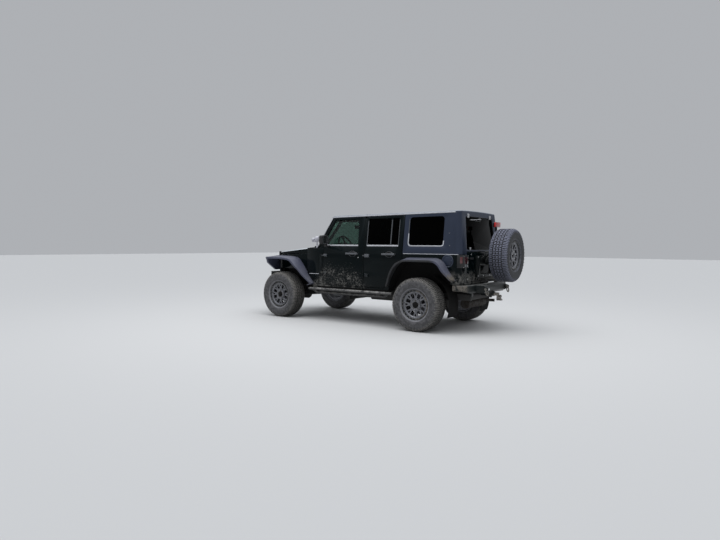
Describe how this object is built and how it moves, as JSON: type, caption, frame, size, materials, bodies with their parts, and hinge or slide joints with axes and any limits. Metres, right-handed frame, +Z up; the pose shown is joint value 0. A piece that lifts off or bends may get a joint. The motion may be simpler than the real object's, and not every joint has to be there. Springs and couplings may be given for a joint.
{
  "type": "lifted off-road 4x4",
  "caption": "Lifted four-door off-road 4x4 with hardtop, wide flares, rock sliders, steel bumpers and a spare wheel on the side-hinged tailgate.",
  "frame": {"origin": "on the ground, at the middle of the overall length, on the centre line", "axes": "+X forward, +Y to the vehicle's left, +Z up"},
  "size_m": [4.8306, 2.044, 1.9175],
  "materials": {
    "body_paint": "gloss near-black green paint, dusty",
    "hardtop_grey": "satin dark slate",
    "flare_grey": "textured weathered plastic",
    "bumper_black": "satin textured black",
    "chassis_black": "dull black, dusty",
    "axle_iron": "dusty cast iron",
    "engine_iron": "dull cast metal",
    "spring_steel": "dull black",
    "exhaust_steel": "dull stained steel",
    "tank_plastic": "matt",
    "wheel_graphite": "satin graphite, dusty",
    "tyre": "dusty rubber",
    "trim_plastic": "grained black plastic",
    "seat_cloth": "dark woven cloth",
    "lamp_glass": "clear lens",
    "smoked_red": "smoked red lens",
    "clear_glass": "clear glass",
    "tinted_glass": "dark tinted glass"
  },
  "bodies": {
    "chassis": {"frame": "chassis_black", "tub": "body_paint", "fenders": "body_paint", "grille_panel": "body_paint", "front_lamps": "lamp_glass", "tail_lamps": "smoked_red", "windscreen_frame": "body_paint", "fixed_glass": "tinted_glass", "roof_panels": "hardtop_grey", "hardtop": "hardtop_grey", "lift_glass": "tinted_glass", "front_bumper": "bumper_black", "rear_bumper": "bumper_black", "rock_sliders": "bumper_black", "fender_flares": "flare_grey", "front_axle": "axle_iron", "rear_axle": "axle_iron", "coil_springs": "spring_steel", "suspension": "axle_iron", "engine_block": "engine_iron", "driveline": "engine_iron", "exhaust": "exhaust_steel", "fuel_tank": "tank_plastic", "seats": "seat_cloth", "dashboard": "trim_plastic", "steering_wheel": "trim_plastic", "roll_cage": "trim_plastic"},
    "hood": {"hood": "body_paint"},
    "door_front_left": {"door_front_left": "body_paint", "door_glass_front_left": "clear_glass", "mirror_left": "trim_plastic"},
    "door_front_right": {"door_front_right": "body_paint", "door_glass_front_right": "clear_glass", "mirror_right": "trim_plastic"},
    "door_rear_left": {"door_rear_left": "body_paint", "door_glass_rear_left": "tinted_glass"},
    "door_rear_right": {"door_rear_right": "body_paint", "door_glass_rear_right": "tinted_glass"},
    "tailgate": {"tailgate": "body_paint", "tailgate_handle": "trim_plastic", "spare_carrier": "bumper_black", "spare_wheel": "wheel_graphite", "spare_tyre": "tyre"},
    "knuckle_left": {"knuckle_left": "axle_iron"},
    "knuckle_right": {"knuckle_right": "axle_iron"},
    "tie_rod": {"tie_rod": "axle_iron"},
    "wheel_front_left": {"wheel_front_left": "wheel_graphite", "tyre_front_left": "tyre"},
    "wheel_front_right": {"wheel_front_right": "wheel_graphite", "tyre_front_right": "tyre"},
    "wheel_rear_left": {"wheel_rear_left": "wheel_graphite", "tyre_rear_left": "tyre"},
    "wheel_rear_right": {"wheel_rear_right": "wheel_graphite", "tyre_rear_right": "tyre"}
  },
  "joints": [
    {"name": "hood_hinge", "type": "hinge", "parent": "chassis", "child": "hood", "pos_m": [1.259, 0, 1.336], "axis": [0, -1, 0], "range_deg": [0, 55]},
    {"name": "door_front_left_hinge", "type": "hinge", "parent": "chassis", "child": "door_front_left", "pos_m": [0.8235, 0.822, 1], "axis": [0, 0, -1], "range_deg": [0, 68]},
    {"name": "door_front_right_hinge", "type": "hinge", "parent": "chassis", "child": "door_front_right", "pos_m": [0.8235, -0.822, 1], "axis": [0, 0, 1], "range_deg": [0, 68]},
    {"name": "door_rear_left_hinge", "type": "hinge", "parent": "chassis", "child": "door_rear_left", "pos_m": [-0.0815, 0.822, 1], "axis": [0, 0, -1], "range_deg": [0, 68]},
    {"name": "door_rear_right_hinge", "type": "hinge", "parent": "chassis", "child": "door_rear_right", "pos_m": [-0.0815, -0.822, 1], "axis": [0, 0, 1], "range_deg": [0, 68]},
    {"name": "tailgate_hinge", "type": "hinge", "parent": "chassis", "child": "tailgate", "pos_m": [-1.904, -0.603, 1], "axis": [0, 0, 1], "range_deg": [0, 90]},
    {"name": "steer_left", "type": "hinge", "parent": "chassis", "child": "knuckle_left", "pos_m": [1.761, 0.7, 0.425], "axis": [0, 0, 1], "range_deg": [-30, 30]},
    {"name": "steer_right", "type": "hinge", "parent": "chassis", "child": "knuckle_right", "pos_m": [1.761, -0.7, 0.425], "axis": [0, 0, 1], "range_deg": [-30, 30]},
    {"name": "tie_rod_pivot", "type": "hinge", "parent": "knuckle_left", "child": "tie_rod", "pos_m": [1.921, 0.7, 0.374], "axis": [0, 0, 1], "range_deg": [-30, 30]},
    {"name": "wheel_front_left_spin", "type": "hinge", "parent": "knuckle_left", "child": "wheel_front_left", "pos_m": [1.761, 0.84, 0.425], "axis": [0, 1, 0], "continuous": true},
    {"name": "wheel_rear_left_spin", "type": "hinge", "parent": "chassis", "child": "wheel_rear_left", "pos_m": [-1.185, 0.84, 0.425], "axis": [0, 1, 0], "continuous": true},
    {"name": "wheel_front_right_spin", "type": "hinge", "parent": "knuckle_right", "child": "wheel_front_right", "pos_m": [1.761, -0.84, 0.425], "axis": [0, 1, 0], "continuous": true},
    {"name": "wheel_rear_right_spin", "type": "hinge", "parent": "chassis", "child": "wheel_rear_right", "pos_m": [-1.185, -0.84, 0.425], "axis": [0, 1, 0], "continuous": true}
  ],
  "couplings": [
    {"joint": "steer_right", "follows": "steer_left", "ratio": 1},
    {"joint": "tie_rod_pivot", "follows": "steer_left", "ratio": -1}
  ]
}
